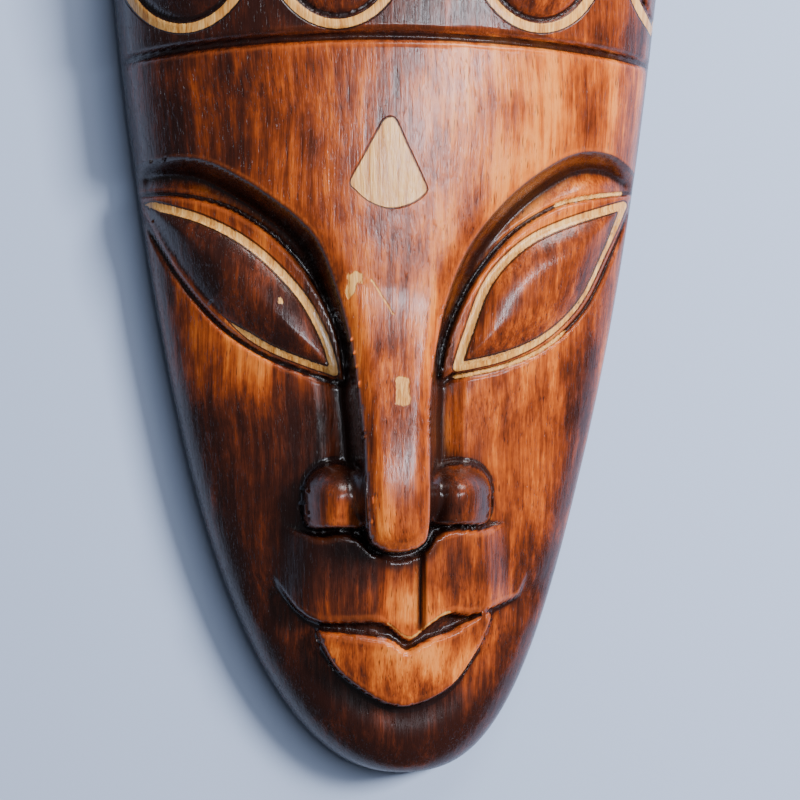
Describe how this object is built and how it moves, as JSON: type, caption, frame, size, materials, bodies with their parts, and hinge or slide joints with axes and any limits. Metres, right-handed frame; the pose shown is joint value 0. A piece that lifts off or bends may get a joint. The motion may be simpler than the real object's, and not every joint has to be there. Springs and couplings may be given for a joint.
{
  "type": "carved wooden mask",
  "caption": "Long stained-wood wall mask with slanted closed eyes, bar nose and looped crown, hollowed at the back, lying face up.",
  "frame": {"origin": "under the middle of the mask's overall box, on the plane its flat back rim rests on", "axes": "+Z out of the face, +Y from the chin to the top of the crown, +X to the right for someone facing the mask"},
  "size_m": [0.182, 0.38, 0.0566],
  "materials": {
    "stained_wood": "satin"
  },
  "bodies": {
    "root": {"mask": "stained_wood"}
  },
  "joints": []
}
